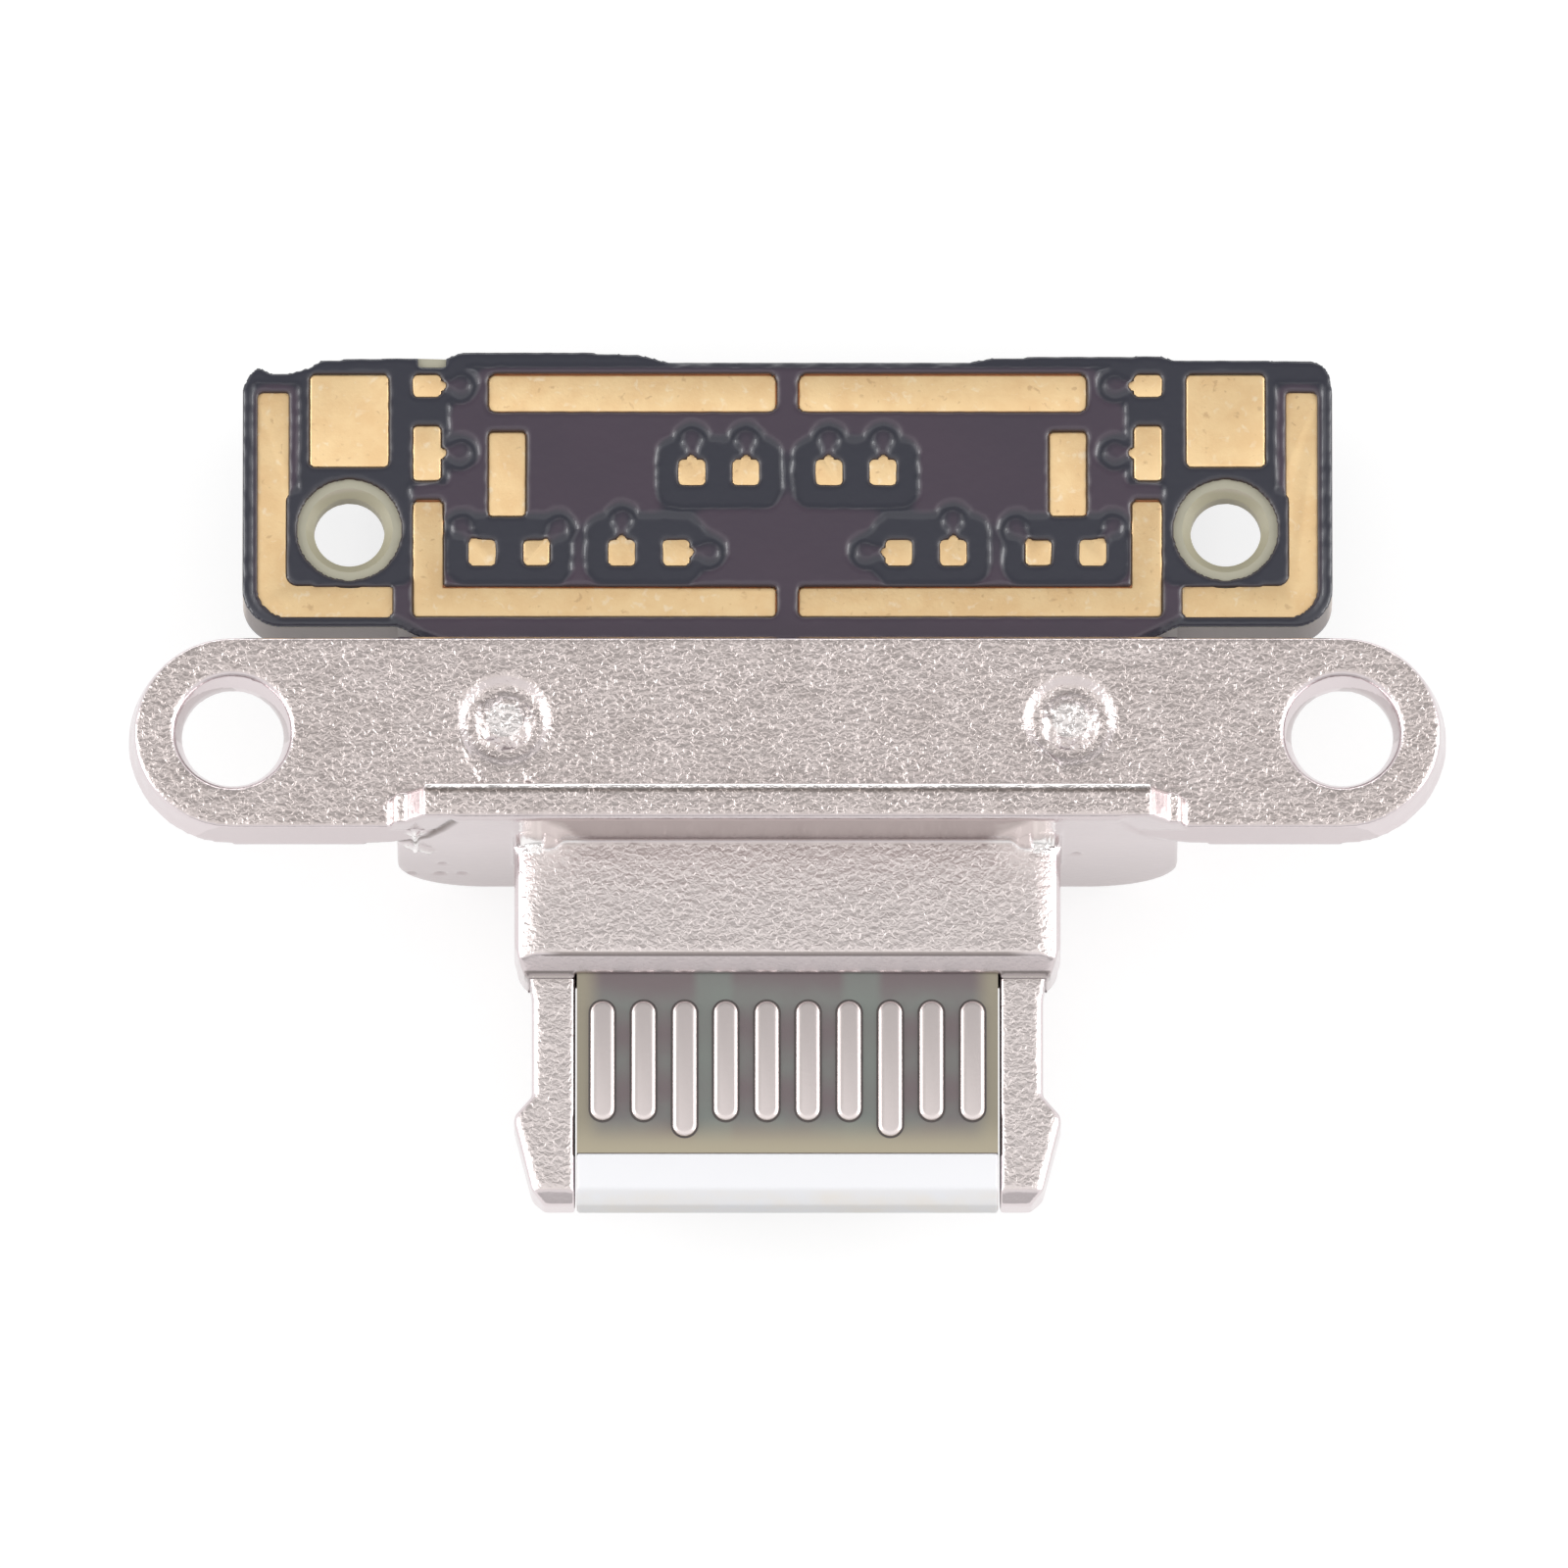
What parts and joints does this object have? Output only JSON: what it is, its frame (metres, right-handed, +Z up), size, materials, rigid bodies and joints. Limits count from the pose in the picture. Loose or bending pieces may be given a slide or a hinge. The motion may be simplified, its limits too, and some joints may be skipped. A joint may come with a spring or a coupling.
{
  "type": "usb-c socket",
  "caption": "Reversible charging and data socket: metal frame with screw ears, raised front lip and latch hooks, its contact tongue part of a small circuit board with bare gold pads.",
  "frame": {"origin": "midway between the two screw holes, level with the ears' undersides", "axes": "+X along the ears from screw hole to screw hole, -Y out of the port towards the plug, +Z up through the ears' tops"},
  "size_m": [0.016, 0.0107, 0.0033],
  "materials": {
    "frame_metal": "nickel-plated, moulded from metal powder, fine grainy skin",
    "laminate": "glass and resin laminate, satin where bare, matt on routed edges",
    "nose_plastic": "white moulded resin, satin",
    "contact_plating": "hard plated, satin flats with bright edges",
    "copper": "copper foil, covered by the mask",
    "solder_mask": "black ink mask, semi-gloss, purple-brown over copper",
    "gold_plating": "gold over nickel, slightly grainy"
  },
  "bodies": {
    "root": {"metal_frame": "frame_metal", "circuit_board": "laminate", "tongue_nose": "nose_plastic", "contact_top_1": "contact_plating", "contact_top_2": "contact_plating", "contact_top_3": "contact_plating", "contact_top_4": "contact_plating", "contact_top_5": "contact_plating", "contact_top_6": "contact_plating", "contact_top_7": "contact_plating", "contact_top_8": "contact_plating", "contact_top_9": "contact_plating", "contact_top_10": "contact_plating", "contact_bottom_1": "contact_plating", "contact_bottom_2": "contact_plating", "contact_bottom_3": "contact_plating", "contact_bottom_4": "contact_plating", "contact_bottom_5": "contact_plating", "contact_bottom_6": "contact_plating", "contact_bottom_7": "contact_plating", "contact_bottom_8": "contact_plating", "contact_bottom_9": "contact_plating", "contact_bottom_10": "contact_plating", "ground_copper_top": "copper", "ground_copper_bottom": "copper", "solder_mask_top": "solder_mask", "solder_mask_bottom": "solder_mask", "outer_ground_pad_left": "gold_plating", "outer_ground_pad_right": "gold_plating", "inner_ground_pad_left": "gold_plating", "inner_ground_pad_right": "gold_plating", "rear_supply_pad_left": "gold_plating", "rear_supply_pad_right": "gold_plating", "upright_supply_pad_left": "gold_plating", "upright_supply_pad_right": "gold_plating", "corner_pad_left": "gold_plating", "corner_pad_right": "gold_plating", "small_pad_left": "gold_plating", "small_pad_right": "gold_plating", "narrow_pad_left": "gold_plating", "narrow_pad_right": "gold_plating", "signal_pad_left_1": "gold_plating", "signal_pad_left_2": "gold_plating", "signal_pad_left_3": "gold_plating", "signal_pad_left_4": "gold_plating", "signal_pad_left_5": "gold_plating", "signal_pad_left_6": "gold_plating", "signal_pad_right_1": "gold_plating", "signal_pad_right_2": "gold_plating", "signal_pad_right_3": "gold_plating", "signal_pad_right_4": "gold_plating", "signal_pad_right_5": "gold_plating", "signal_pad_right_6": "gold_plating"}
  },
  "joints": []
}
